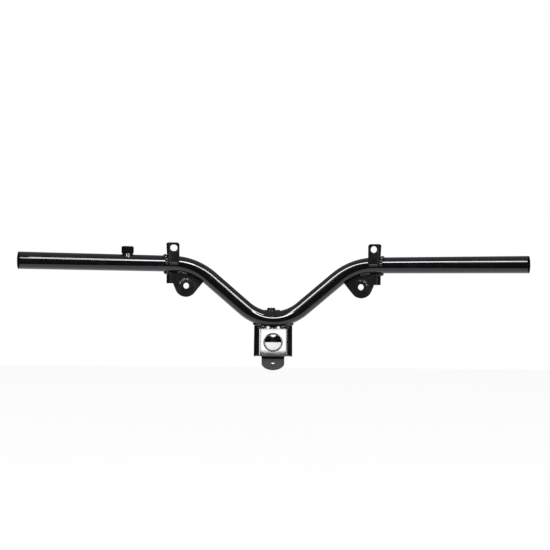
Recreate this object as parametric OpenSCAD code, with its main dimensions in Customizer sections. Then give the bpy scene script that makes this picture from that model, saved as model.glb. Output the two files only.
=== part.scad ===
// Motorcycle handlebar: a bare vee-shaped steel bar with its pressed brackets welded on.
// The origin is the middle of the cross bolt that holds the stem bracket, +X runs to the
// bar's right end, +Z is up, and the rider sits on the -Y side.

/* [Bar] */
// Outer diameter of the bar tube
bar_d = 22.2; // [20:0.1:25]
// Wall of the bar tube
bar_wall = 2; // [1.2:0.1:3]
// Loss of radius where the tube is bent
bend_thin = 0.06; // [0.05:0.01:0.15]
// Slope of each arm of the vee above the horizontal
arm_angle = 40.6; // [34:0.2:46]
// Centreline radius of the bend at the bottom of the vee
vee_bend_r = 62; // [58:1:80]
// Straight length of each arm
arm_l = 64; // [56:1:80]
// Centreline radius of the bend from arm to grip
upper_bend_r = 71; // [62:1:80]
// Straight length of each grip
grip_l = 210; // [180:1:240]
// Angle that each grip is swept back towards the rider
sweep_angle = 26; // [20:0.5:30]
// Angle that each grip rises above the horizontal
rise_angle = 0.45; // [0:0.05:3]

/* [Stem bracket] */
// Sheet thickness of the stem bracket
bracket_t = 2.3; // [1.6:0.1:3]
// Width over the side walls
bracket_w = 54; // [50:1:62]
// Depth of the side walls from the front face
bracket_depth = 38; // [36:1:46]
// Rise of the side walls' lower edge from the folded corner to the back
wall_rise = 7; // [0:0.5:9]
// Height of the flat front face
bracket_h = 38; // [36:0.5:44]
// Outside radius of the two folded corners
bracket_fold_r = 9; // [6:0.5:10]
// Lean of the front face away from the vertical
bracket_tilt = 18; // [12:1:22]
// Gap between the front face's top edge and the underside of the bar
bracket_gap = 2.05; // [1:0.05:3]
// Distance of the front face's top edge ahead of the bar's centreline
bracket_lead = 4; // [2:0.5:6]
// Diameter of the large hole in the front face
window_d = 23.4; // [18:0.2:27]
// Height of the large hole's centre below the front face's top edge
window_drop = 20; // [18:0.5:22]
// Bevel round the large hole
window_bevel = 0.7; // [0.3:0.1:1]
// Distance of the cross bolt behind the front face
bolt_inset = 21; // [20:0.5:23]
// Height of the cross bolt below the front face's top edge
bolt_drop = 24; // [22:0.5:28]
// Diameter of the cross bolt's holes
bolt_hole_d = 10.5; // [8:0.1:12.5]

/* [Lower tab] */
// Width of the tab under the front face
tongue_w = 31.7; // [26:0.1:34]
// Outside radius of the tab's fold
tongue_fold_r = 9; // [6:0.5:11]
// Angle that the tab is folded back
tongue_fold = 60; // [45:1:70]
// Length of the tab from its fold to its tip
tongue_l = 18.7; // [17.5:0.1:24]
// Radius of the tab's root fillets
tongue_fillet = 3.5; // [1:0.1:3.9]
// Radius of the tab's round tip
tongue_tip_r = 16.6; // [16.1:0.1:20]
// Diameter of the tab's hole
tongue_hole_d = 5.5; // [4:0.1:8]
// Distance of the tab's hole from its fold
tongue_hole_l = 5.7; // [5.5:0.1:7]

/* [Stem plates] */
// Thickness of the two plates inside the bracket
plate_t = 2; // [1.5:0.1:2.6]
// Distance of the guide plate behind the front face
guide_inset = 5.5; // [4.5:0.1:6]
// Height of the guide plate's top edge above the cross bolt
guide_top = 6; // [4:0.5:8]
// Distance of the back plate behind the cross bolt
back_offset = 13.5; // [13:0.5:14]
// Height of the back plate
back_h = 23; // [21:0.5:26]
// Diameter of the back plate's bolt hole
back_hole_d = 8.6; // [6.5:0.1:9]
// Height of the back plate's bolt hole above the cross bolt
back_hole_up = 24.7; // [23:0.1:26]
// Metal above the back plate's bolt hole
back_margin = 4; // [3:0.5:5]

/* [Cover stay] */
// Width of the cover stay along the bar
stay_w = 22; // [18:0.5:26]
// Thickness of the cover stay
stay_t = 1.6; // [1.2:0.1:2.4]
// Reach of the cover stay behind the bar's centreline
stay_reach = 22; // [20:0.5:26]
// Reach of the cover stay ahead of the bar's centreline
stay_lead = 4; // [3:0.5:5]
// Radius of the cover stay's rear corners
stay_corner_r = 4; // [2:0.5:6]
// Sideways place of the cover stay
stay_x = -1.5; // [-3:0.5:3]
// Distance of the weld nut from the stay's rear edge
stay_nut_inset = 7; // [6:0.5:8]
// Distance of the weld nut left of the stay's middle
stay_nut_shift = 1.5; // [0:0.5:3]
// Size across the flats of the stay's weld nut
stay_nut_af = 10; // [9:0.5:11]
// Height of the stay's weld nut
stay_nut_h = 3; // [2.5:0.5:6]
// Diameter of the stay's thread
stay_thread_d = 5; // [4:0.1:5.6]

/* [Upper tabs] */
// Distance of each upper tab along its grip, from the grip's start outwards
tab_out = 4; // [2:0.5:8]
// Sheet thickness of the upper tabs
tab_t = 2.3; // [1.6:0.1:3]
// Width of each upper tab
tab_w = 16; // [14.5:0.5:20]
// Height of each upper tab above the bar's centreline
tab_h = 29.2; // [27:0.2:34]
// Height of each tab's hole above the bar's centreline
tab_hole_h = 21.7; // [20.5:0.1:22.5]
// Width of the side flange at the tab's top
tab_flange_top = 10; // [8:0.5:12]
// Width of the side flange at the bar
tab_flange_low = 6.5; // [5:0.5:8]
// Diameter of the right tab's round hole
tab_hole_d = 9.3; // [7:0.1:10]
// Length of the left tab's slot
tab_slot_l = 11; // [9.5:0.1:11.5]
// Width of the left tab's slot
tab_slot_w = 8.7; // [6.5:0.1:9]
// Cut at each tab's inner top corner
tab_clip = 2.4; // [1:0.1:3]

/* [Lower ears] */
// Sheet thickness of the lower ears
ear_t = 2.4; // [1.6:0.1:3]
// Place of each ear's hole along the upper bend
ear_bend_angle = 31.8; // [29:0.2:34]
// Height of the ear's hole below the bar's centreline
ear_drop = 28.4; // [27:0.2:32]
// Turn of each ear towards the middle
ear_turn = 20; // [16:0.5:24]
// Radius of the ear's round end
ear_r = 15.7; // [14:0.1:17]
// Diameter of the ear's hole
ear_hole_d = 8.3; // [6:0.1:10]
// Diameter of the ear's raised seat
ear_seat_d = 15; // [13.5:0.1:16]
// Height of the ear's raised seat
ear_seat_h = 1.6; // [0.8:0.1:2]
// Distance of the ear's inner corner from its hole
ear_inner_x = 25; // [24:0.1:26]
// Height of the ear's inner corner above its hole
ear_inner_up = 5.5; // [4.5:0.1:6.5]
// Distance of the ear's side flange from its hole
ear_flange_x = 26.3; // [25:0.1:28]
// Depth of the ear's side flange
ear_flange_depth = 8; // [6.5:0.1:9]
// Outside radius of the ear's side fold
ear_fold_r = 5; // [3:0.5:6]
// Height of the side flange's foot above the ear's hole
ear_foot = 3.2; // [1:0.1:6]

/* [Mirror nut] */
// Distance of the mirror nut from the bar's left end
mirror_l = 144; // [120:0.2:165]
// Size across the nut's flats
mirror_af = 15; // [13:0.5:16]
// Height of the mirror nut
mirror_h = 9.8; // [8:0.1:14]
// Diameter of the nut's round collar
mirror_collar_d = 12.4; // [11:0.1:13]
// Height of the nut's round collar above the bar
mirror_collar = 1.5; // [1:0.1:4]
// Metal left between the bar and the bottom of the mirror thread
mirror_floor = 1.2; // [0.6:0.1:1.6]
// Width of the weld's foot round the collar
mirror_weld_w = 2.6; // [2:0.1:4.5]
// Diameter of the mirror thread
mirror_thread_d = 8.8; // [7:0.1:9]

/* [Hidden] */
$fn = 96;
// Finer rounding for the small weld beads, which lie along the bar's large bends
bead_fn = 220;

paint = "#17181b";
bead_paint = "#232428";

bar_r = bar_d / 2;
// Radius of the bar in its bends
bent_r = bar_r - bend_thin;
// Depth that a flat piece is coped into the round bar
seat = 0.25;
// Extra length of a cutting shape past the face that it cuts
over = 1;
// Radius of the ripples beside each upper tab, and their place past the tab's side
side_ripple = 2.9;
side_out = 1.6;
// Gap between the stay's hole and its nut's thread
stay_nut_play = 0.5;

// Front face's top edge, in the bracket's own leaning frame
face_y = -bolt_inset;
face_top = bolt_drop;
face_low = face_top - bracket_h;

// Lowest point of the bar's centreline
vee_y = face_y * cos(bracket_tilt) + face_top * sin(bracket_tilt) + bracket_lead;
vee_z = face_top * cos(bracket_tilt) - face_y * sin(bracket_tilt) + bracket_gap + bar_r;

// Directions and places along the right half of the bar
arm_dir = [cos(arm_angle), 0, sin(arm_angle)];
arm_up = [-sin(arm_angle), 0, cos(arm_angle)];
grip_dir = [
    cos(rise_angle) * cos(sweep_angle),
    -cos(rise_angle) * sin(sweep_angle),
    sin(rise_angle)
];
arm_start = [vee_bend_r * sin(arm_angle), vee_y, vee_z + vee_bend_r * (1 - cos(arm_angle))];
bend_start = arm_start + arm_l * arm_dir;
bend_turn = acos(arm_dir * grip_dir);
bend_roll = atan2(-grip_dir.y, -(grip_dir * arm_up));
bend_in = (grip_dir - cos(bend_turn) * arm_dir) / sin(bend_turn);
grip_start = bend_point(bend_turn);
// Centre of the right ear's hole
ear_at = bend_point(ear_bend_angle) - [0, 0, ear_drop];

// Point of the centreline at an angle along the upper bend
function bend_point(a) = bend_start + upper_bend_r * (sin(a) * arm_dir + (1 - cos(a)) * bend_in);

// Point of the centreline at a distance along the grip
function grip_point(s) = grip_start + s * grip_dir;

// Underside of the bottom bend, above the bottom bend's lowest centreline point
function under_bar(x, y) =
    vee_bend_r - sqrt(pow(vee_bend_r + sqrt(bent_r * bent_r - y * y), 2) - x * x);

// Draws its children on the given side, mirrored for the left
module on_side(side) {
    mirror([side == "left" ? 1 : 0, 0, 0]) children();
}

// Places its children in the bracket's leaning frame
module bracket_frame() {
    rotate([-bracket_tilt, 0, 0]) children();
}

// Places its children at the start of the right upper bend, x along the arm, bending to -z
module bend_frame() {
    translate(bend_start) rotate([0, -arm_angle, 0]) rotate([-bend_roll, 0, 0]) children();
}

// Places its children at the start of the right grip, x along the grip
module grip_frame() {
    bend_frame()
        translate([upper_bend_r * sin(bend_turn), 0, -upper_bend_r * (1 - cos(bend_turn))])
            rotate([0, bend_turn, 0]) children();
}

// Round section, with a bore where a wall is given
module section(r, wall) {
    difference() {
        circle(r);
        if (wall > 0) circle(r - wall);
    }
}

// Straight length of rod or tube along x
module rod_x(r, l, wall = 0) {
    rotate([0, 90, 0]) linear_extrude(height = l) section(r, wall);
}

// Rod or tube bent in the xz plane about the origin, from one angle to another
module bent_rod(r, bend_r, from, to, wall = 0) {
    rotate([90, 0, 0]) rotate([0, 0, from]) rotate_extrude(angle = to - from)
        translate([bend_r, 0]) section(r, wall);
}

module vee_rod(wall = 0) {
    translate([0, vee_y, vee_z + vee_bend_r])
        bent_rod(bent_r, vee_bend_r, -90 - arm_angle, -90 + arm_angle, wall);
}

module arm_rod(wall = 0) {
    translate(arm_start) rotate([0, -arm_angle, 0]) rod_x(bar_r, arm_l, wall);
}

module bend_rod(wall = 0) {
    bend_frame() translate([0, 0, -upper_bend_r])
        bent_rod(bent_r, upper_bend_r, 90 - bend_turn, 90, wall);
}

module grip_rod(wall = 0) {
    grip_frame() rod_x(bar_r, grip_l, wall);
}

// Sheet in the xz plane, centred on y = 0
module sheet_xz(t) {
    translate([0, t / 2, 0]) rotate([90, 0, 0]) linear_extrude(height = t) children();
}

// Row of weld ripples at the given points
module bead(r, points) {
    for (p = points) translate(p) sphere(r, $fn = 64);
}

module bar_tube() {
    color(paint) {
        vee_rod(bar_wall);
        for (side = ["left", "right"]) on_side(side) {
            arm_rod(bar_wall);
            bend_rod(bar_wall);
            grip_rod(bar_wall);
        }
    }
}

// Plan of the channel between its corner centres, grown by r round the corners
module channel_plan(r, back) {
    corner_x = bracket_w / 2 - bracket_fold_r;
    corner_y = face_y + bracket_fold_r;
    for (s = [-1, 1]) translate([s * corner_x, corner_y]) circle(r);
    translate([-corner_x, corner_y - r]) square([2 * corner_x, back - corner_y + r]);
    translate([-corner_x - r, corner_y]) square([2 * (corner_x + r), back - corner_y]);
}

// Inside of the channel, as a solid that runs its whole height
module channel_core(low, high) {
    translate([0, 0, low]) linear_extrude(height = high - low)
        channel_plan(bracket_fold_r - bracket_t, bracket_depth + face_y + over);
}

// Side view of the channel walls, y to the back and z up, in the leaning frame
module wall_side() {
    back_y = face_y + bracket_depth;
    saddle = face_top + bracket_gap + bar_r;
    // Height of the walls' top above the bar's centreline, and their fall behind the bar
    horn = bar_r / 2;
    fall = bar_r / 4;
    polygon([
        [face_y - over, face_low], [face_y + bracket_fold_r, face_low],
        [back_y, face_low + wall_rise], [back_y, back_top()], [face_y + bar_r + bracket_lead, saddle - fall],
        [face_y + bracket_lead, saddle + horn], [face_y - over, saddle + horn]
    ]);
}

// Height of the walls and of the back plate at the back of the channel
function back_top() = back_hole_up + back_hole_d / 2 + back_margin;

// Side view of the lower tab, folded back from the bottom of the front face
module tongue_side() {
    far = 4 * tongue_fold_r;
    half = tongue_fold / 2;
    translate([face_y + tongue_fold_r, face_low]) {
        intersection() {
            difference() {
                circle(tongue_fold_r);
                circle(tongue_fold_r - bracket_t);
            }
            polygon([
                [0, 0], [-far, 0],
                -far / cos(half) * [cos(half), sin(half)],
                -far * [cos(tongue_fold), sin(tongue_fold)]
            ]);
        }
        rotate(tongue_fold) translate([-tongue_fold_r, -tongue_l]) square([bracket_t, tongue_l]);
    }
}

// Front view of what is cut from each side of the lower tab, with its root fillets
module tongue_sides() {
    root = tongue_w / 2;
    deep = 4 * tongue_fold_r;
    for (s = [-1, 1]) translate([s * (root + tongue_fillet), face_low - tongue_fillet]) {
        circle(tongue_fillet);
        translate([-tongue_fillet, -deep]) square([2 * tongue_fillet, deep]);
    }
}

// Plan of what is cut from the flat of the lower tab: beside its round tip, and its hole
module tongue_tip() {
    arc_y = tongue_tip_r - tongue_l;
    // Length of the straight sides past the middle of the tip's arc
    side_l = tongue_w / 8;
    difference() {
        translate([-tongue_w, -2 * tongue_l]) square([2 * tongue_w, 2 * tongue_l]);
        translate([0, arc_y]) circle(tongue_tip_r);
        translate([-tongue_w, arc_y - side_l]) square([2 * tongue_w, tongue_l]);
    }
    translate([0, -tongue_hole_l]) circle(d = tongue_hole_d);
}

module lower_tab() {
    half_w = tongue_w / 2 + tongue_fillet;
    difference() {
        rotate([90, 0, 90]) translate([0, 0, -half_w]) linear_extrude(height = 2 * half_w)
            tongue_side();
        translate([0, bracket_depth, 0]) rotate([90, 0, 0])
            linear_extrude(height = 2 * bracket_depth) tongue_sides();
        translate([0, face_y + tongue_fold_r, face_low]) rotate([tongue_fold, 0, 0])
            translate([0, -tongue_fold_r + bracket_t / 2, 0])
                sheet_xz(bracket_t + 2 * over) tongue_tip();
    }
}

// Folded channel with its top edge cut to shape, before its holes
module channel_walls() {
    flat = bracket_w / 2 - bracket_fold_r;
    high = bolt_drop + vee_bend_r;
    difference() {
        intersection() {
            translate([0, 0, face_low]) linear_extrude(height = high)
                channel_plan(bracket_fold_r, bracket_depth + face_y);
            rotate([90, 0, 90]) translate([0, 0, -bracket_w / 2 - over])
                linear_extrude(height = bracket_w + 2 * over) wall_side();
        }
        channel_core(face_low - over, high);
        translate([-flat, face_y - over, face_top])
            cube([2 * flat, bracket_fold_r + over, high]);
    }
}

module stem_bracket() {
    color(paint) difference() {
        bracket_frame() union() {
            difference() {
                channel_walls();
                translate([0, face_y - over, face_top - window_drop]) rotate([-90, 0, 0])
                    cylinder(d = window_d, h = bracket_t + 2 * over);
                translate([0, face_y, face_top - window_drop]) rotate([-90, 0, 0])
                    cylinder(
                        d1 = window_d + 2 * window_bevel,
                        d2 = window_d,
                        h = window_bevel
                    );
                translate([-bracket_w / 2 - over, 0, 0])
                    rod_x(bolt_hole_d / 2, bracket_w + 2 * over);
            }
            lower_tab();
        }
        vee_rod();
    }
}

module stem_guide_plate() {
    y = face_y + guide_inset;
    color(paint) bracket_frame() intersection() {
        channel_core(face_low, guide_top);
        translate([-bracket_w / 2, y, face_low])
            cube([bracket_w, plate_t, guide_top - face_low]);
    }
}

module stem_back_plate() {
    color(paint) bracket_frame() difference() {
        intersection() {
            channel_core(back_top() - back_h, back_top());
            translate([-bracket_w / 2, back_offset, back_top() - back_h])
                cube([bracket_w, plate_t, back_h]);
        }
        translate([0, back_offset - over, back_hole_up]) rotate([-90, 0, 0])
            cylinder(d = back_hole_d, h = plate_t + 2 * over);
    }
}

// Ripples of the weld that follows a folded corner of the bracket round the bar's underside
module stem_weld(side) {
    $fn = bead_fn;
    ripple = 2.3;
    step = 18;
    color(bead_paint) difference() {
        on_side(side) bead(ripple, [for (a = [0:step:4 * step]) stem_weld_point(a)]);
        vee_rod();
        bracket_frame() channel_walls();
    }
}

// Point just outside the bracket's folded corner and under the bar, at an angle round the fold
function stem_weld_point(a) =
    let (out = 0.6)
    let (x = bracket_w / 2 - bracket_fold_r + bracket_fold_r * sin(a))
    let (y = -bracket_lead - out + bracket_fold_r * (1 - cos(a)))
    [x, vee_y + y, vee_z + under_bar(x, y) - out];

module stem_tack_weld() {
    $fn = bead_fn;
    ripple = 1.9;
    half = 3.6;
    step = half / 1.5;
    y = -bracket_lead + bracket_t / 2;
    z = -bar_r - bracket_gap / 2;
    color(bead_paint) difference() {
        bead(ripple, [for (x = [-half:step:half]) [x, vee_y + y, vee_z + z]]);
        vee_rod();
        bracket_frame() channel_walls();
    }
}

// Height of the cover stay's underside above the bottom bend's lowest centreline point
function stay_low() = bar_r - seat;

// Places its children at the middle of the stay's nut, at the stay's underside
module stay_nut_frame() {
    translate([stay_x - stay_nut_shift, vee_y + stay_reach - stay_nut_inset, vee_z + stay_low()])
        children();
}

module cover_stay() {
    r = stay_corner_r;
    l = stay_reach + stay_lead;
    color(paint) difference() {
        translate([stay_x, vee_y, vee_z + stay_low()]) linear_extrude(height = stay_t) {
            translate([-stay_w / 2, -stay_lead]) square([stay_w, l - r]);
            translate([-stay_w / 2 + r, -stay_lead]) square([stay_w - 2 * r, l]);
            for (s = [-1, 1]) translate([s * (stay_w / 2 - r), stay_reach - r]) circle(r);
        }
        vee_rod();
        stay_nut_frame() translate([0, 0, -over])
            cylinder(d = stay_thread_d + 2 * stay_nut_play, h = stay_t + 2 * over);
    }
}

// Hexagonal nut with a rounded top edge, before its thread's hole
module hex_blank(af, h) {
    corner_d = af / cos(30);
    // Share of the width over the flats that stays flat on top
    crown = 0.94;
    intersection() {
        cylinder(d = corner_d, h = h, $fn = 6);
        cylinder(d1 = corner_d + 2 * h, d2 = crown * af, h = h);
    }
}

module cover_stay_nut() {
    color(paint) stay_nut_frame() translate([0, 0, stay_t]) difference() {
        hex_blank(stay_nut_af, stay_nut_h);
        translate([0, 0, -over]) cylinder(d = stay_thread_d, h = stay_nut_h + 2 * over);
    }
}

module cover_stay_weld() {
    $fn = bead_fn;
    ripple = 1.4;
    half = 4.5;
    step = half / 2.5;
    color(bead_paint) difference() {
        bead(ripple, [
            for (x = [-half:step:half])
                [stay_x + x, vee_y - stay_lead - seat, vee_z + stay_low()]
        ]);
        vee_rod();
        cover_stay();
    }
}

// Frame of the upper tab, x along the grip and -y to the rider, at the bar's centreline
module tab_frame() {
    translate(grip_point(tab_out)) rotate([0, 0, -sweep_angle]) children();
}

// Bottom edge of the tab's front above the bar's centreline
function tab_low() = 1.4;

// Front face of the upper tab, as seen by the rider
module tab_front(slotted) {
    difference() {
        polygon([
            [-tab_w / 2, tab_low()], [tab_w / 2 - tab_t, tab_low()],
            [tab_w / 2 - tab_t, tab_h], [-tab_w / 2 + tab_clip, tab_h],
            [-tab_w / 2, tab_h - tab_clip]
        ]);
        if (slotted) {
            for (s = [-1, 1])
                translate([s * (tab_slot_l - tab_slot_w) / 2, tab_hole_h])
                    circle(d = tab_slot_w);
            translate([0, tab_hole_h])
                square([tab_slot_l - tab_slot_w, tab_slot_w], center = true);
        } else {
            translate([0, tab_hole_h]) circle(d = tab_hole_d);
        }
    }
}

module upper_tab(side) {
    front = -bar_r + seat - tab_t;
    fold_r = tab_t;
    // Drop of the flange's rear corner below the tab's top
    flange_drop = 1;
    color(paint) difference() {
        on_side(side) tab_frame() {
            translate([0, front + tab_t / 2, 0]) sheet_xz(tab_t) tab_front(side == "left");
            // Side flange, folded back from the front and standing on the bar
            translate([tab_w / 2 - tab_t, 0, 0]) rotate([90, 0, 90])
                linear_extrude(height = tab_t)
                    polygon([
                        [front + tab_t, tab_low()], [front + tab_flange_low, bar_r / 2],
                        [front + tab_flange_top, tab_h - flange_drop], [front + tab_t, tab_h]
                    ]);
            // Round outside of the fold
            translate([tab_w / 2 - fold_r, front + fold_r, tab_low()])
                intersection() {
                    cylinder(r = fold_r, h = tab_h - tab_low());
                    translate([0, -fold_r, 0]) cube([fold_r, fold_r, tab_h]);
                }
        }
        on_side(side) {
            bend_rod();
            grip_rod();
        }
    }
}

module tab_side_weld(side) {
    $fn = bead_fn;
    sunk = 0.4;
    r = bar_r - sunk;
    // Angles of the first and last ripple above the level of the centreline
    low = 8;
    high = 74;
    step = 22;
    color(bead_paint) difference() {
        on_side(side) tab_frame() bead(side_ripple, [
            for (a = [low:step:high]) [tab_w / 2 + side_out, -r * cos(a), r * sin(a)]
        ]);
        on_side(side) grip_rod();
        upper_tab(side);
    }
}

module tab_under_weld(side) {
    $fn = bead_fn;
    ripple = 2.2;
    drop = 0.9;
    // The row ends where the ripples beside the tab begin
    first = ripple - tab_w / 2;
    last = tab_w / 2 + side_out - side_ripple - ripple;
    gaps = 5;
    color(bead_paint) difference() {
        on_side(side) tab_frame() bead(ripple, [
            for (i = [0:gaps])
                [first + (last - first) * i / gaps, -bar_r - seat, tab_low() - drop]
        ]);
        on_side(side) {
            bend_rod();
            grip_rod();
            tab_frame() translate([-tab_w, -bar_d, tab_low()]) cube([2 * tab_w, bar_d, tab_h]);
        }
    }
}

// Frame of the ear, x along its sheet and -y to the rider
module ear_frame() {
    translate(ear_at) rotate([0, 0, -ear_turn]) children();
}

// A point of the bar in the ear's own frame, as seen by the rider
function in_ear(p) = [
    (p.x - ear_at.x) * cos(ear_turn) - (p.y - ear_at.y) * sin(ear_turn),
    p.z - ear_at.z
];

// Outline of the ear's sheet up to the bar's centreline
module ear_outline() {
    fold_x = ear_flange_x - ear_fold_r;
    foot_w = 3;
    // Number of straight steps that follow the bar
    steps = 11;
    inner = [-ear_inner_x, ear_inner_up];
    foot = [fold_x - foot_w, ear_foot];
    // Directions from the hole to the points where the straight edges leave the round end
    inner_a = atan2(inner.y, inner.x) + acos(ear_r / norm(inner));
    outer_a = atan2(foot.y, foot.x) - acos(ear_r / norm(foot));
    difference() {
        union() {
            circle(ear_r);
            polygon(concat(
                [
                    ear_r * [cos(outer_a), sin(outer_a)], foot, [fold_x, ear_foot],
                    [fold_x, ear_drop]
                ],
                [
                    for (i = [0:steps - 1])
                        in_ear(bend_point(bend_turn * (1 - i / steps)))
                ],
                [inner, ear_r * [cos(inner_a), sin(inner_a)]]
            ));
        }
        circle(d = ear_hole_d);
    }
}

// Plan of the ear's side fold and flange
module ear_flange_plan() {
    fold_x = ear_flange_x - ear_fold_r;
    centre_y = ear_fold_r - ear_t / 2;
    intersection() {
        translate([fold_x, centre_y]) difference() {
            circle(ear_fold_r);
            circle(ear_fold_r - ear_t);
        }
        translate([fold_x, centre_y - ear_fold_r]) square(ear_fold_r);
    }
    translate([ear_flange_x - ear_t, centre_y])
        square([ear_t, ear_flange_depth - ear_fold_r]);
}

module lower_ear(side) {
    seat_r = ear_seat_d / 2;
    slope = 4;
    dish = 1;
    color(paint) difference() {
        on_side(side) ear_frame() difference() {
            union() {
                sheet_xz(ear_t) ear_outline();
                translate([0, -ear_t / 2, 0]) rotate([90, 0, 0])
                    cylinder(r1 = seat_r + slope, r2 = seat_r, h = ear_seat_h);
                translate([0, 0, ear_foot])
                    linear_extrude(height = ear_drop - ear_foot + over) ear_flange_plan();
            }
            translate([0, ear_t / 2, 0]) rotate([90, 0, 0])
                cylinder(r1 = seat_r + slope - dish, r2 = seat_r - dish, h = ear_seat_h);
            rotate([90, 0, 0]) cylinder(d = ear_hole_d, h = 4 * ear_t, center = true);
        }
        on_side(side) {
            arm_rod();
            bend_rod();
            grip_rod();
        }
    }
}

// Two welds of each ear: a thin row in front of the sheet, and a thick one beside the flange
module ear_weld(side) {
    $fn = bead_fn;
    thin = 2.2;
    thick = 3;
    turn_step = 2.2;
    ahead = ear_t / 2 + 0.8;
    // Place of the thick row's middle past the flange and above the bar's underside
    beside = 1.4;
    above = 1.3;
    step = [0.8, 2, 0.3];
    middle = [ear_flange_x + beside, 0, ear_drop - bar_r + above];
    color(bead_paint) difference() {
        on_side(side) {
            bead(thin, [
                for (a = [0:turn_step:4 * turn_step])
                    bend_point(ear_bend_angle + a) - [0, ahead, bar_r]
            ]);
            ear_frame() bead(thick, [for (i = [-1:1]) middle + i * step]);
        }
        on_side(side) {
            bend_rod();
            grip_rod();
        }
        lower_ear(side);
    }
}

// Frame on the left grip's centreline under the mirror nut, z up
module mirror_frame() {
    on_side("left") translate(grip_point(grip_l - mirror_l)) rotate([0, 0, -sweep_angle])
        rotate([0, -rise_angle, 0]) children();
}

// Nut with its round collar saddled on the bar and a blind hole for the thread
module mirror_nut() {
    low = bar_r / 2;
    color(paint) difference() {
        mirror_frame() difference() {
            union() {
                translate([0, 0, bar_r + mirror_collar]) hex_blank(mirror_af, mirror_h);
                translate([0, 0, low]) cylinder(d = mirror_collar_d, h = low + mirror_collar);
            }
            translate([0, 0, bar_r + mirror_floor])
                cylinder(d = mirror_thread_d, h = mirror_collar + mirror_h);
        }
        on_side("left") grip_rod();
    }
}

module mirror_nut_weld() {
    collar_r = mirror_collar_d / 2;
    low = bar_r / 2;
    top_w = 0.9;
    color(bead_paint) difference() {
        mirror_frame() difference() {
            translate([0, 0, low]) cylinder(
                r1 = collar_r + mirror_weld_w,
                r2 = collar_r + top_w,
                h = low + mirror_collar
            );
            cylinder(r = collar_r, h = bar_d);
        }
        on_side("left") grip_rod();
    }
}

bar_tube();
stem_bracket();
stem_guide_plate();
stem_back_plate();
stem_weld("left");  // stem_weld_left
stem_weld("right");  // stem_weld_right
stem_tack_weld();
cover_stay();
cover_stay_nut();
cover_stay_weld();
upper_tab("left");  // upper_tab_left
upper_tab("right");  // upper_tab_right
tab_side_weld("left");  // tab_side_weld_left
tab_side_weld("right");  // tab_side_weld_right
tab_under_weld("left");  // tab_under_weld_left
tab_under_weld("right");  // tab_under_weld_right
lower_ear("left");  // lower_ear_left
lower_ear("right");  // lower_ear_right
ear_weld("left");  // ear_weld_left
ear_weld("right");  // ear_weld_right
mirror_nut();
mirror_nut_weld();
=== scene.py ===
"""The look of a bare motorcycle handlebar: black enamel, rounded plates, welds and the studio round it.

All lengths are in metres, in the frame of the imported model: +X to the bar's right end, +Z up, the
rider on the -Y side, and the origin at the middle of the stem bolt.
"""

import logging
import math
from dataclasses import dataclass
from enum import Enum
from typing import Any

import bpy
from mathutils import Matrix, Vector

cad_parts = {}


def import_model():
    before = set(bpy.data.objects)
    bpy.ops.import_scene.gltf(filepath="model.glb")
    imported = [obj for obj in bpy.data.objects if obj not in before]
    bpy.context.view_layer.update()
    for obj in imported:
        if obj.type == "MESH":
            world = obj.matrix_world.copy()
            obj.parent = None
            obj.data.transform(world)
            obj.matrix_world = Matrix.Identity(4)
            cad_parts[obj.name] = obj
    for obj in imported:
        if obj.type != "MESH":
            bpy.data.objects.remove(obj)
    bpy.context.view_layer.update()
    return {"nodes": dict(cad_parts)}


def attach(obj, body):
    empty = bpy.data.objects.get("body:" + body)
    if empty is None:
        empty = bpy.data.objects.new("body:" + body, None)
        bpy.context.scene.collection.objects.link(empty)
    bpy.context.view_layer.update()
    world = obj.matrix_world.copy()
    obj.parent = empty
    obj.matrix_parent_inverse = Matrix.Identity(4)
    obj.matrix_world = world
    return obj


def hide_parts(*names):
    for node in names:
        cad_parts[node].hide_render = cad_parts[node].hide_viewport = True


LOG = logging.getLogger("handlebar")
BRACKET = "stem_bracket"

# Besides the welds, the CAD nodes that show as they are, without a rounded copy
KEPT_NODES = ("bar_tube", BRACKET)

# A Mix node's colour sockets, by number because its other sockets have the same names
MIX_FIRST = 6
MIX_SECOND = 7
MIX_RESULT = 2


class Slot(Enum):
    """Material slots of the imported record."""

    STEEL = "painted_steel"
    WELD = "painted_weld"


@dataclass(frozen=True)
class Tint:
    """A linear colour."""

    red: float
    green: float
    blue: float

    def rgba(self) -> tuple[float, float, float, float]:
        """Return the colour with full alpha."""
        return (self.red, self.green, self.blue, 1.0)


WHITE = Tint(1.0, 1.0, 1.0)
Colour = Tint | bpy.types.NodeSocket


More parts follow.
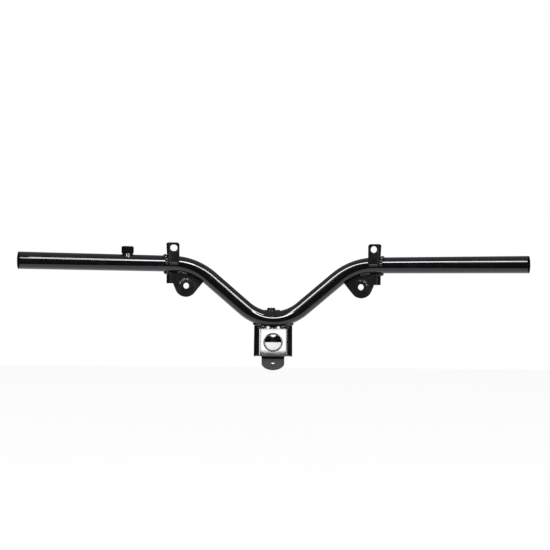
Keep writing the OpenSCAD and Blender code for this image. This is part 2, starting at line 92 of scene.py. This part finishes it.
class Value:
    """One number socket of a node tree, with arithmetic that adds Math nodes."""

    def __init__(self, shader: "Shader", socket: bpy.types.NodeSocket) -> None:
        """Wrap a socket.

        Args:
            shader: The tree that the socket belongs to.
            socket: The output to wrap.
        """
        self.shader = shader
        self.socket = socket

    def _math(self, operation: str, first: "Number", second: "Number") -> "Value":
        """Return the result of a Math node on two values."""
        node = self.shader.node("ShaderNodeMath", {"operation": operation}, {0: first, 1: second})
        return Value(self.shader, node.outputs[0])

    def __add__(self, other: "Number") -> "Value":
        """Return self + other."""
        return self._math("ADD", self, other)

    def __radd__(self, other: "Number") -> "Value":
        """Return other + self."""
        return self._math("ADD", other, self)

    def __sub__(self, other: "Number") -> "Value":
        """Return self - other."""
        return self._math("SUBTRACT", self, other)

    def __rsub__(self, other: "Number") -> "Value":
        """Return other - self."""
        return self._math("SUBTRACT", other, self)

    def __mul__(self, other: "Number") -> "Value":
        """Return self * other."""
        return self._math("MULTIPLY", self, other)

    def __rmul__(self, other: "Number") -> "Value":
        """Return other * self."""
        return self._math("MULTIPLY", other, self)

    def at_most(self, limit: "Number") -> "Value":
        """Return the smaller of the value and the limit."""
        return self._math("MINIMUM", self, limit)

    def ramp(self, low: float, high: float) -> "Value":
        """Return 0 below low, 1 above high, and a smooth step between."""
        settings = {"interpolation_type": "SMOOTHSTEP"}
        inputs = {"Value": self, "From Min": low, "From Max": high}
        node = self.shader.node("ShaderNodeMapRange", settings, inputs)
        return Value(self.shader, node.outputs["Result"])


Number = Value | float


class Shader:
    """A node tree that is written as expressions."""

    def __init__(self, tree: bpy.types.NodeTree) -> None:
        """Empty the tree.

        Args:
            tree: The node tree to build in.
        """
        self.tree = tree
        tree.nodes.clear()

    def node(self, kind: str, settings: dict[str, Any], inputs: dict[str | int, Any]) -> bpy.types.Node:
        """Add a node.

        Args:
            kind: The node's type name.
            settings: Properties to set first.
            inputs: Values or links, by the socket's name or number.

        Returns:
            The new node.
        """
        made = self.tree.nodes.new(kind)
        for name, setting in settings.items():
            setattr(made, name, setting)
        for key, given in inputs.items():
            socket = made.inputs[key]
            if isinstance(given, Value):
                self.tree.links.new(given.socket, socket)
            elif isinstance(given, bpy.types.NodeSocket):
                self.tree.links.new(given, socket)
            elif isinstance(given, Tint):
                socket.default_value = given.rgba()
            else:
                socket.default_value = given
        return made

    def place(self) -> bpy.types.NodeSocket:
        """Return the object coordinates, in metres."""
        return self.node("ShaderNodeTexCoord", {}, {}).outputs["Object"]

    def along(self, where: bpy.types.NodeSocket, axis: str) -> Value:
        """Return one part of a vector, by its axis."""
        return Value(self, self.node("ShaderNodeSeparateXYZ", {}, {"Vector": where}).outputs[axis])

    def noise(self, where: bpy.types.NodeSocket, scale: float, detail: float = 3.0) -> Value:
        """Return noise from 0 to 1.

        Args:
            where: The coordinates to read.
            scale: Features to a metre.
            detail: Octaves of finer noise.

        Returns:
            The noise's value.
        """
        inputs = {"Vector": where, "Scale": scale, "Detail": detail}
        return Value(self, self.node("ShaderNodeTexNoise", {}, inputs).outputs[0])

    def blend(self, share: Value, first: Colour, second: Colour) -> bpy.types.NodeSocket:
        """Return a colour between two.

        Args:
            share: 0 gives the first colour, and 1 the second.
            first: The first colour, or its socket.
            second: The second colour, or its socket.

        Returns:
            The colour socket.
        """
        inputs = {"Factor": share, MIX_FIRST: first, MIX_SECOND: second}
        return self.node("ShaderNodeMix", {"data_type": "RGBA"}, inputs).outputs[MIX_RESULT]

    def bump(self, height: Value, depth: float, strength: float = 1.0) -> bpy.types.NodeSocket:
        """Return a normal bent by a height field.

        Args:
            height: The height, from 0 to 1.
            depth: What a height of 1 stands for, in metres.
            strength: The share of the effect.

        Returns:
            The normal socket.
        """
        inputs = {"Height": height, "Distance": depth, "Strength": strength}
        return self.node("ShaderNodeBump", {}, inputs).outputs["Normal"]

    def glow(self, power: float) -> bpy.types.NodeSocket:
        """Return a white emission."""
        return self.node("ShaderNodeEmission", {}, {"Color": WHITE, "Strength": power}).outputs[0]

    def end(self, surface: bpy.types.NodeSocket) -> None:
        """Lead a surface to the material's output."""
        self.node("ShaderNodeOutputMaterial", {}, {"Surface": surface})

    def light_path(self, name: str) -> Value:
        """Return one of the Light Path node's flags."""
        return Value(self, self.node("ShaderNodeLightPath", {}, {}).outputs[name])

    def shown(self) -> Value:
        """Return 1 for camera, glossy and transmission rays."""
        rays = self.light_path("Is Camera Ray")
        rays = rays + self.light_path("Is Glossy Ray")
        rays = rays + self.light_path("Is Transmission Ray")
        return rays.at_most(1.0)


def new_material(name: str) -> tuple[bpy.types.Material, Shader]:
    """Return a new material, and the shader that builds its nodes."""
    material = bpy.data.materials.new(name)
    material.use_nodes = True
    return material, Shader(material.node_tree)


@dataclass(frozen=True)
class Enamel:
    """Gloss black enamel, sprayed over steel: nearly smooth, with a faint orange peel and dust.

    The scales are features to a metre, and the bands are where a noise starts and ends to count.
    """

    name: str = "gloss_black_enamel"
    base: Tint = Tint(0.0035, 0.0035, 0.0042)
    dusty: Tint = Tint(0.010, 0.010, 0.012)
    gloss: float = 0.06
    haze: float = 0.05
    peel_depth: float = 0.000005
    peel_scale: float = 320.0
    peel_octaves: float = 2.0
    cloud_scale: float = 60.0
    dull_band: tuple[float, float] = (0.3, 0.8)
    pale_band: tuple[float, float] = (0.45, 0.8)
    pale_share: float = 0.6
    speck_scale: float = 2600.0
    speck_octaves: float = 1.0
    speck_band: tuple[float, float] = (0.66, 0.74)
    speck_share: float = 0.4
    speck_haze: float = 0.1
    under_gloss: float = 0.1
    index: float = 1.5
    coat: float = 1.0
    coat_haze: float = 0.035

    def relief(self, shader: Shader, where: bpy.types.NodeSocket) -> bpy.types.NodeSocket:
        """Return the normal of the orange peel.

        Args:
            shader: The tree to build in.
            where: The coordinates to read.

        Returns:
            The normal socket.
        """
        return shader.bump(shader.noise(where, self.peel_scale, self.peel_octaves), self.peel_depth)

    def cover(self, shader: Shader, where: bpy.types.NodeSocket) -> Number:
        """Return the coat's weight, which is the same all over."""
        return self.coat

    def build(self) -> bpy.types.Material:
        """Return the material."""
        material, shader = new_material(self.name)
        where = shader.place()
        cloud = shader.noise(where, self.cloud_scale)
        speck = shader.noise(where, self.speck_scale, self.speck_octaves).ramp(*self.speck_band)
        dust = cloud.ramp(*self.pale_band) * self.pale_share + speck * self.speck_share
        rough = cloud.ramp(*self.dull_band) * self.haze + self.gloss + speck * self.speck_haze
        principled = shader.node(
            "ShaderNodeBsdfPrincipled",
            {},
            {
                "Base Color": shader.blend(dust, self.base, self.dusty),
                "Roughness": rough,
                "Specular IOR Level": self.under_gloss,
                "Coat Weight": self.cover(shader, where),
                "Coat Roughness": self.coat_haze,
                "Coat IOR": self.index,
                "Normal": self.relief(shader, where),
            },
        )
        shader.end(principled.outputs[0])
        return material


@dataclass(frozen=True)
class WeldEnamel(Enamel):
    """The same enamel over a rippled weld, where it pools and shows the bead's grain."""

    name: str = "enamel_over_weld"
    base: Tint = Tint(0.006, 0.006, 0.007)
    dusty: Tint = Tint(0.02, 0.02, 0.022)
    gloss: float = 0.16
    haze: float = 0.14
    peel_depth: float = 0.00012
    peel_scale: float = 700.0


@dataclass(frozen=True)
class FlatEnamel(Enamel):
    """The same enamel on the bracket, where it has run out nearly level.

    Its coat is left off between two heights, just above the lower tab's fold, which paints a dark band of
    shade across the face.
    """

    name: str = "enamel_on_flat_face"
    peel_depth: float = 0.000002
    peel_scale: float = 900.0
    shade_band_top: float = -0.0066
    shade_band_low: float = -0.0100
    soft: float = 0.0006

    def cover(self, shader: Shader, where: bpy.types.NodeSocket) -> Number:
        """Return the coat's weight, which is zero in a band just above the lower tab's fold, as painted
        shade.

        Args:
            shader: The tree to build in.
            where: The coordinates to read.

        Returns:
            The weight.
        """
        # painted shade: no coat between the two heights, so the face shows a dark band there
        height = shader.along(where, "Z")
        above = height.ramp(self.shade_band_top - self.soft, self.shade_band_top + self.soft)
        under = 1.0 - height.ramp(self.shade_band_low - self.soft, self.shade_band_low + self.soft)
        return (above + under) * self.coat


@dataclass(frozen=True)
class GuideEnamel(FlatEnamel):
    """A thinner coat on the guide plate, inside the bracket."""

    name: str = "enamel_on_guide_plate"
    coat: float = 0.7


@dataclass(frozen=True)
class DullEnamel(Enamel):
    """Enamel over a pressed plate's scale, which leaves it dull."""

    name: str = "dull_enamel_on_plates"
    dusty: Tint = Tint(0.014, 0.014, 0.016)
    gloss: float = 0.3
    haze: float = 0.15
    peel_depth: float = 0.00003
    coat: float = 0.7
    coat_haze: float = 0.3


@dataclass(frozen=True)
class Stop:
    """A place along a light, in degrees: to the right, above the horizon, and half its width.

    It is seen from a point of the object, at a distance in metres.
    """

    azimuth: float
    elevation: float
    half: float
    far: float = 4.0
    seen_from: tuple[float, float, float] = (0.0, 0.0, 0.1)

    def toward(self) -> Vector:
        """Return the unit direction from the object."""
        a, e = math.radians(self.azimuth), math.radians(self.elevation)
        return Vector((math.sin(a) * math.cos(e), -math.cos(a) * math.cos(e), math.sin(e)))

    def point(self) -> Vector:
        """Return the light's place there."""
        return Vector(self.seen_from) + self.toward() * self.far


@dataclass(frozen=True)
class SheetLight:
    """A glowing strip of cloth, bent along its stops, which only the object sees.

    Between two stops, its width and the point that it is seen from change evenly.
    """

    name: str
    power: float
    stops: tuple[Stop, ...]
    steps: int = 8

    def build(self) -> None:
        """Make the strip."""
        spine = smooth_path([stop.point() for stop in self.stops], self.steps)
        rows = []
        for i, here in enumerate(spine):
            ahead = spine[min(i + 1, len(spine) - 1)] - spine[max(i - 1, 0)]
            first, share = divmod(i, self.steps)
            last = min(first + 1, len(self.stops) - 1)
            share /= self.steps
            before, after = self.stops[first], self.stops[last]
            eye = Vector(before.seen_from).lerp(Vector(after.seen_from), share)
            toward = here - eye
            half = toward.length * math.tan(math.radians(before.half * (1 - share) + after.half * share))
            across = toward.cross(ahead).normalized() * half
            rows.append([here - across, here, here + across])
        light = sheet_from_rows(self.name, rows)
        material, shader = new_material(self.name + "_cloth")
        shader.end(shader.glow(self.power))
        light.data.materials.append(material)
        light.visible_camera = False


@dataclass
class Studio:
    """A white table with a white backdrop, and narrow lights that the gloss mirrors as lines.

    The arch is low in front, so that the vee shows a thin line, and rises to both sides. The left bend
    and grip have a nearer light, the bracket's face a small panel, and its corners a wide, dim one.
    """

    floor_z: float = -0.308
    floor_front: float = -0.38
    floor_back: float = 2.6
    floor_half: float = 2.2
    floor_fade: tuple[float, float] = (0.0, 0.9)
    floor_loss: float = 0.9
    floor_glow: float = 0.92
    paper: Tint = Tint(0.8, 0.8, 0.8)
    paper_scale: float = 40.0
    paper_rough: float = 0.6
    paper_grain: float = 0.01
    lights: tuple[SheetLight, ...] = (
        SheetLight("arch_light", 26.0, (
            Stop(-41.5, 43.0, 2.6),
            Stop(-47.0, 40.5, 2.6),
            Stop(-51.0, 41.5, 2.6),
            Stop(-46.0, 46.5, 2.6),
            Stop(-33.0, 44.0, 3.8),
            Stop(-23.0, 37.5, 3.0),
            Stop(-14.0, 29.0, 3.0),
            Stop(-7.0, 22.0, 3.4),
            Stop(0.0, 17.5, 4.2),
            Stop(7.0, 21.0, 2.8),
            Stop(14.0, 26.5, 1.7),
            Stop(21.0, 33.5, 1.7),
            Stop(27.0, 36.0, 1.8),
            Stop(33.0, 31.5, 1.8),
        )),
        SheetLight("left_bend_light", 26.0, (
            Stop(30.0, 32.0, 1.8, 3.0, (-0.089, -0.009, 0.099)),
            Stop(38.5, 29.5, 2.0, 2.4, (-0.113, -0.012, 0.114)),
            Stop(45.0, 32.0, 2.6, 1.8, (-0.126, -0.016, 0.118)),
            Stop(50.5, 37.5, 2.6, 1.3, (-0.145, -0.024, 0.119)),
            Stop(49.5, 38.0, 2.6, 1.2, (-0.163, -0.033, 0.119)),
            Stop(45.5, 39.5, 2.6, 1.1, (-0.234, -0.068, 0.120)),
            Stop(39.5, 40.5, 2.6, 1.0, (-0.320, -0.110, 0.121)),
        )),
        SheetLight("bracket_panel", 26.0, (
            Stop(-1.4, 30.43, 0.98),
            Stop(1.35, 30.43, 0.98),
        )),
        SheetLight("side_panel", 4.0, (
            Stop(-40.0, 34.0, 5.0),
            Stop(-18.0, 37.0, 7.0),
        )),
    )
    room: Tint = Tint(0.012, 0.012, 0.014)
    ceiling: Tint = Tint(0.28, 0.29, 0.33)
    ceiling_band: tuple[float, float] = (0.35, 0.8)
    backdrop_band: tuple[float, float] = (0.97, 0.995)

    def build(self) -> None:
        """Make the world, the floor and the lamps."""
        self.world()
        self.floor()
        for light in self.lights:
            light.build()

    def world(self) -> None:
        """White behind the object for the camera and in the gloss, and a dark room with a pale ceiling."""
        world = bpy.data.worlds.new("studio")
        bpy.context.scene.world = world
        world.use_nodes = True
        shader = Shader(world.node_tree)
        toward = shader.node("ShaderNodeTexCoord", {}, {}).outputs["Generated"]
        overhead = shader.along(toward, "Z").ramp(*self.ceiling_band)
        behind = shader.along(toward, "Y").ramp(*self.backdrop_band)
        mirrored = shader.light_path("Is Glossy Ray") + shader.light_path("Is Transmission Ray")
        white = (shader.light_path("Is Camera Ray") + mirrored * behind).at_most(1.0)
        colour = shader.blend(white, shader.blend(overhead, self.room, self.ceiling), WHITE)
        background = shader.node("ShaderNodeBackground", {}, {"Color": colour})
        shader.node("ShaderNodeOutputWorld", {}, {"Surface": background.outputs[0]})

    def floor(self) -> None:
        """The white table top, which keeps a part of the object's shadow."""
        middle = (self.floor_front + self.floor_back) / 2
        deselect()
        bpy.ops.mesh.primitive_plane_add(size=1.0, location=(0.0, middle, self.floor_z))
        floor = bpy.context.object
        floor.name = "studio_floor"
        floor.scale = (2 * self.floor_half, self.floor_back - self.floor_front, 1.0)
        settle(floor)
        material, shader = new_material("white_table")
        where = shader.place()
        rough = shader.noise(where, self.paper_scale) * self.paper_grain + self.paper_rough
        mirrored = shader.light_path("Is Glossy Ray") * shader.along(where, "Y").ramp(*self.floor_fade)
        lost = mirrored * self.floor_loss
        paper = shader.node("ShaderNodeBsdfDiffuse", {}, {"Color": self.paper, "Roughness": rough})
        dim = shader.node("ShaderNodeMixShader", {}, {0: lost, 1: paper.outputs[0]})
        share = (shader.shown() - lost) * self.floor_glow
        mixed = shader.node("ShaderNodeMixShader", {}, {0: share, 1: dim.outputs[0], 2: shader.glow(1.0)})
        shader.end(mixed.outputs[0])
        floor.data.materials.append(material)


def deselect() -> None:
    """Deselect everything, so that an operator acts only on what it adds."""
    if bpy.context.mode != "OBJECT":
        bpy.ops.object.mode_set(mode="OBJECT")
    bpy.ops.object.select_all(action="DESELECT")


def settle(piece: bpy.types.Object) -> None:
    """Put a piece's place, turn and scale into its mesh.

    Args:
        piece: The finished piece.
    """
    bpy.context.view_layer.update()
    piece.data.transform(piece.matrix_world)
    piece.matrix_world = Matrix.Identity(4)


def dress_piece(piece: bpy.types.Object, finish: bpy.types.Material) -> None:
    """Give a new piece its finish, and let it ride on the frame.

    Args:
        piece: The finished piece.
        finish: Its material.
    """
    piece.data.materials.clear()
    piece.data.materials.append(finish)
    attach(piece, "root")
    LOG.info("made %s", piece.name)


def smooth_path(points: list[Vector], steps: int) -> list[Vector]:
    """Return points along a smooth curve through the given ones.

    Each stretch is a cubic that leaves and reaches its ends in the direction of their neighbours.

    Args:
        points: Points to pass through.
        steps: Pieces that each stretch is cut into.

    Returns:
        The points, with the given ones among them.
    """
    made = []
    for i in range(len(points) - 1):
        before = points[max(i - 1, 0)]
        after = points[min(i + 2, len(points) - 1)]
        first, last = points[i], points[i + 1]
        for k in range(steps):
            t = k / steps
            made.append(
                first * (2 * t**3 - 3 * t**2 + 1)
                + (last - before) * 0.5 * (t**3 - 2 * t**2 + t)
                + last * (3 * t**2 - 2 * t**3)
                + (after - first) * 0.5 * (t**3 - t**2)
            )
    made.append(points[-1])
    return made


def sheet_from_rows(name: str, rows: list[list[Vector]]) -> bpy.types.Object:
    """Return a mesh object of a sheet through rows of points.

    Args:
        name: The object's name.
        rows: Rows with the same number of points.

    Returns:
        The new object.
    """
    wide = len(rows[0])
    points = [p for row in rows for p in row]
    faces = [
        (r * wide + c, r * wide + c + 1, (r + 1) * wide + c + 1, (r + 1) * wide + c)
        for r in range(len(rows) - 1)
        for c in range(wide - 1)
    ]
    mesh = bpy.data.meshes.new(name)
    mesh.from_pydata(points, [], faces)
    made = bpy.data.objects.new(name, mesh)
    bpy.context.scene.collection.objects.link(made)
    return made


@dataclass
class Viewpoint:
    """The camera, square to the bar, a little above the middle of the vee, and a little rolled."""

    x: float = 0.0019
    y: float = -1.2116
    z: float = 0.1046
    lens: float = 55.86
    sensor: float = 36.0
    reach: tuple[float, float] = (0.05, 50.0)
    roll: float = math.radians(-0.5)

    def build(self) -> None:
        """Make the camera."""
        data = bpy.data.cameras.new("viewpoint")
        data.lens = self.lens
        data.sensor_width = self.sensor
        data.clip_start, data.clip_end = self.reach
        camera = bpy.data.objects.new("viewpoint", data)
        camera.location = (self.x, self.y, self.z)
        camera.rotation_euler = (math.pi / 2, self.roll, 0.0)
        bpy.context.scene.collection.objects.link(camera)
        bpy.context.scene.camera = camera


@dataclass
class WindowRim:
    """The rolled edge of the bracket's round window, which is a black ring on the bright face.

    The roll's middle lies outside the hole by a share of its own radius.
    """

    face: tuple[float, float, float] = (0.0, -0.0187, 0.0105)
    tilt: float = math.radians(18.0)
    hole_radius: float = 0.0117
    roll_radius: float = 0.0012
    outward: float = 0.6
    flatness: float = 0.75
    turns: int = 72
    sides: int = 16

    def build(self) -> None:
        """Make the ring as a flattened torus, lay it on the face and dress it."""
        deselect()
        bpy.ops.mesh.primitive_torus_add(
            location=self.face,
            rotation=(math.pi / 2 - self.tilt, 0.0, 0.0),
            major_radius=self.hole_radius + self.roll_radius * self.outward,
            minor_radius=self.roll_radius,
            major_segments=self.turns,
            minor_segments=self.sides,
        )
        ring = bpy.context.object
        ring.name = "window_rim"
        ring.scale = (1.0, 1.0, self.flatness)
        settle(ring)
        bpy.ops.object.shade_smooth()
        dress_piece(ring, bpy.data.materials[Enamel().name])


@dataclass
class InnerWelds:
    """Two short weld runs between the bracket's top edge and the bar, inside its corners.

    Each bead fills the gap between that edge and the round of the bar over it, and a little more.
    """

    start: float = 0.0114
    pitch: float = 0.0019
    beads: int = 5
    bead_sides: int = 16
    bead_rings: int = 10
    edge_y: float = -0.01156
    edge_z: float = 0.02931
    bar_y: float = -0.00856
    bar_z: float = 0.04246
    bar_radius: float = 0.0111
    bend_radius: float = 0.0620
    overlap: float = 0.0007
    unevenness: float = 0.25
    ripple: float = 2.1
    voxel: float = 0.0003

    def build(self) -> None:
        """Make both runs."""
        finish = bpy.data.materials[WeldEnamel().name]
        for side, name in ((-1, "inner_weld_left"), (1, "inner_weld_right")):
            run = self.melted([self.bead(side, i) for i in range(self.beads)])
            run.name = name
            dress_piece(run, finish)

    def bead(self, side: int, i: int) -> bpy.types.Object:
        """Make one bead.

        Args:
            side: -1 for the left run, and 1 for the right one.
            i: The bead's number, from the middle outwards.

        Returns:
            The bead.
        """
        x = self.start + i * self.pitch
        rise = self.bend_radius - math.sqrt(self.bend_radius**2 - x**2)
        away = Vector((0.0, self.bar_y - self.edge_y, self.bar_z + rise - self.edge_z))
        gap = away.length - self.bar_radius
        middle = Vector((side * x, self.edge_y, self.edge_z)) + away.normalized() * gap / 2
        spread = self.overlap * (1.0 + self.unevenness * math.sin(self.ripple * i))
        deselect()
        bpy.ops.mesh.primitive_uv_sphere_add(
            segments=self.bead_sides, ring_count=self.bead_rings, radius=gap / 2 + spread, location=middle
        )
        return bpy.context.object

    def melted(self, beads: list[bpy.types.Object]) -> bpy.types.Object:
        """Join beads and melt them into one surface.

        Args:
            beads: The beads of one run.

        Returns:
            The run.
        """
        run = beads[0]
        for bead in beads:
            bead.select_set(True)
        bpy.context.view_layer.objects.active = run
        bpy.ops.object.join()
        settle(run)
        melt = run.modifiers.new("melt", "REMESH")
        melt.mode = "VOXEL"
        melt.voxel_size = self.voxel
        bpy.ops.object.modifier_apply(modifier=melt.name)
        bpy.ops.object.shade_smooth()
        return run


@dataclass
class SoftPlates:
    """The pressed plates and the nuts, copied from their CAD nodes and given rounded edges.

    An edge is rounded where its faces meet at more than the sharp angle, and faces that turn by less
    than the flat angle are joined first.
    """

    nodes: dict[str, bpy.types.Object]
    plate_round: float = 0.0004
    nut_round: float = 0.0003
    segments: int = 2
    sharp: float = math.radians(40.0)
    flat: float = math.radians(0.6)
    merge_gap: float = 0.000005
    face_weight: int = 100

    def build(self) -> None:
        """Make and dress each rounded piece."""
        guide, dull = GuideEnamel().build(), DullEnamel().build()
        enamel = bpy.data.materials[Enamel().name]
        for name in self.nodes:
            if "weld" in name or name in KEPT_NODES:
                continue
            width, finish = self.plate_round, dull
            if "guide" in name:
                finish = guide
            elif "nut" in name:
                width, finish = self.nut_round, enamel
            piece = self.rounded(name, width)
            dress_piece(piece, finish)
            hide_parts(name)

    def rounded(self, name: str, width: float) -> bpy.types.Object:
        """Return a rounded copy of a node, in its place.

        Args:
            name: The CAD node.
            width: How far the rounding reaches from each edge, in metres.

        Returns:
            The copy.
        """
        deselect()
        piece = bpy.data.objects.new(name + "_rounded", self.nodes[name].data.copy())
        bpy.context.scene.collection.objects.link(piece)
        bpy.context.view_layer.objects.active = piece
        piece.select_set(True)
        bpy.ops.object.mode_set(mode="EDIT")
        bpy.ops.mesh.select_all(action="SELECT")
        bpy.ops.mesh.remove_doubles(threshold=self.merge_gap)
        bpy.ops.mesh.dissolve_limited(angle_limit=self.flat)
        bpy.ops.mesh.normals_make_consistent(inside=False)
        bpy.ops.object.mode_set(mode="OBJECT")
        bpy.ops.object.shade_smooth_by_angle(angle=self.sharp)
        bevel = piece.modifiers.new("round", "BEVEL")
        bevel.width = width
        bevel.segments = self.segments
        bevel.limit_method = "ANGLE"
        bevel.angle_limit = self.sharp
        bevel.use_clamp_overlap = False
        bpy.ops.object.modifier_apply(modifier=bevel.name)
        even = piece.modifiers.new("even", "WEIGHTED_NORMAL")
        even.weight = self.face_weight
        even.keep_sharp = True
        bpy.ops.object.modifier_apply(modifier=even.name)
        return piece


@dataclass
class Handlebar:
    """The painted frame: the CAD nodes, each with the finish of its surface."""

    nodes: dict[str, bpy.types.Object]

    def dress(self) -> None:
        """Give each node the enamel that its surface has."""
        enamel, weld, face = Enamel().build(), WeldEnamel().build(), FlatEnamel().build()
        for name, piece in self.nodes.items():
            finish, slot = enamel, Slot.STEEL
            if "weld" in name:
                finish, slot = weld, Slot.WELD
            elif name == BRACKET:
                finish = face
            piece.data.materials.clear()
            piece.data.materials.append(finish)
            LOG.info("dressed %s", name)


def main() -> None:
    """Load the frame and build the scene round it."""
    logging.basicConfig(level=logging.INFO, format="%(message)s")
    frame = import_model()
    bpy.context.scene.view_settings.view_transform = "Standard"
    Viewpoint().build()
    Studio().build()
    Handlebar(frame["nodes"]).dress()
    WindowRim().build()
    InnerWelds().build()
    SoftPlates(frame["nodes"]).build()


if __name__ == "__main__":
    main()
